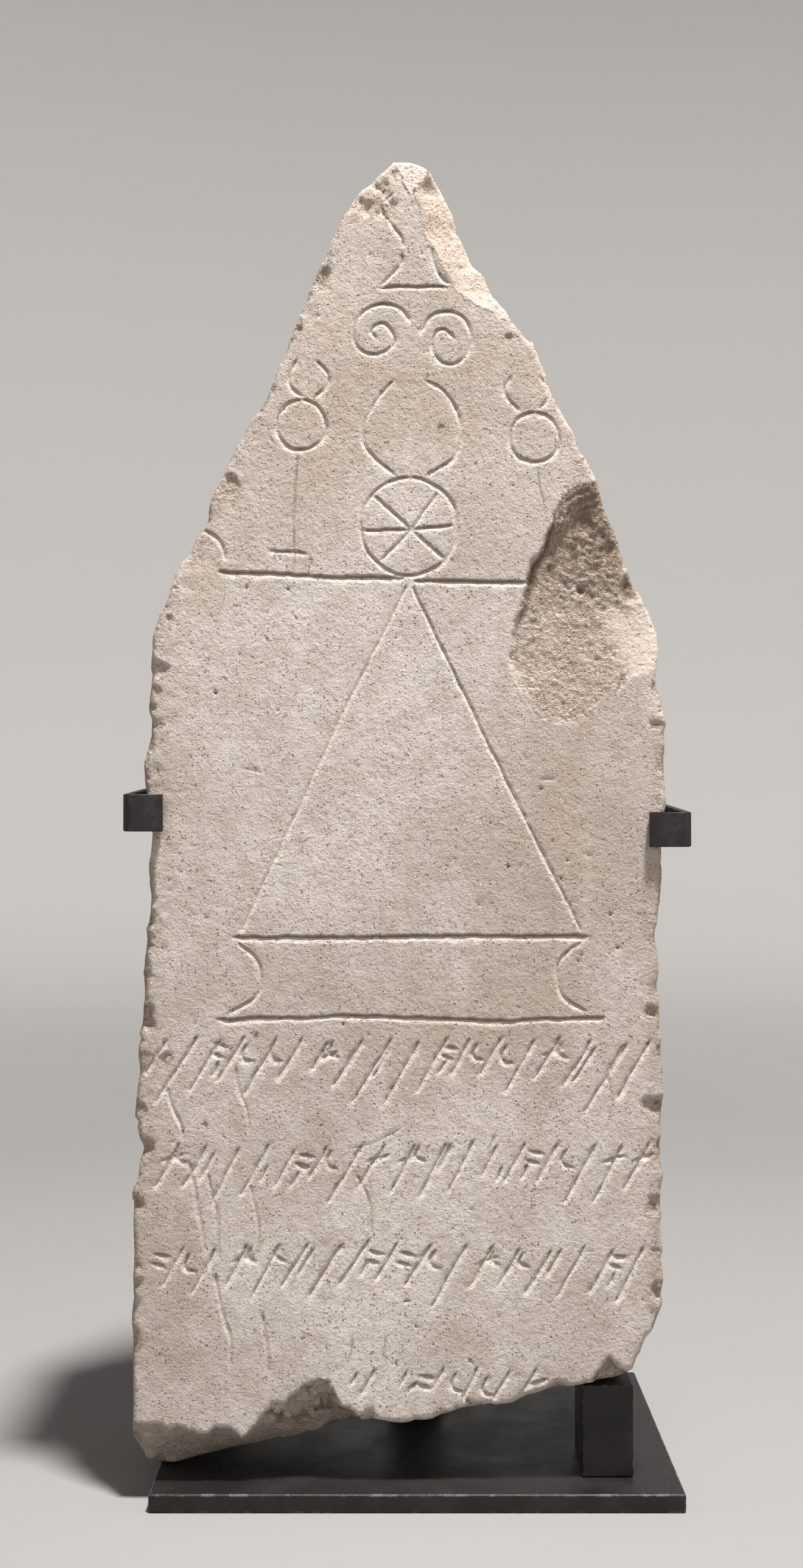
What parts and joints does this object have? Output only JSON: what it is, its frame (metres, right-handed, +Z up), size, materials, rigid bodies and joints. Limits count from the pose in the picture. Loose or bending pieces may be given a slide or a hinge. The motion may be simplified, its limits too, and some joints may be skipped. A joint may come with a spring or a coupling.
{
  "type": "carved stone stele",
  "caption": "Gabled limestone votive slab with incised signs and worn stroke rows, broken at the foot and held upright by a black steel display mount.",
  "frame": {"origin": "centre of the base plate's underside", "axes": "+Z up the slab, -Y out of the carved face towards the viewer, +X to the viewer's right"},
  "size_m": [0.1847, 0.13, 0.4375],
  "materials": {
    "limestone": "pale grey-beige pitted limestone, worn and stained, granular in the breaks",
    "black_steel": "satin black paint, lightly rubbed along the edges"
  },
  "bodies": {
    "root": {"stele": "limestone", "base_plate": "black_steel", "foot_post": "black_steel", "left_clip": "black_steel", "right_clip": "black_steel", "cross_bar": "black_steel", "rear_upright": "black_steel"}
  },
  "joints": []
}
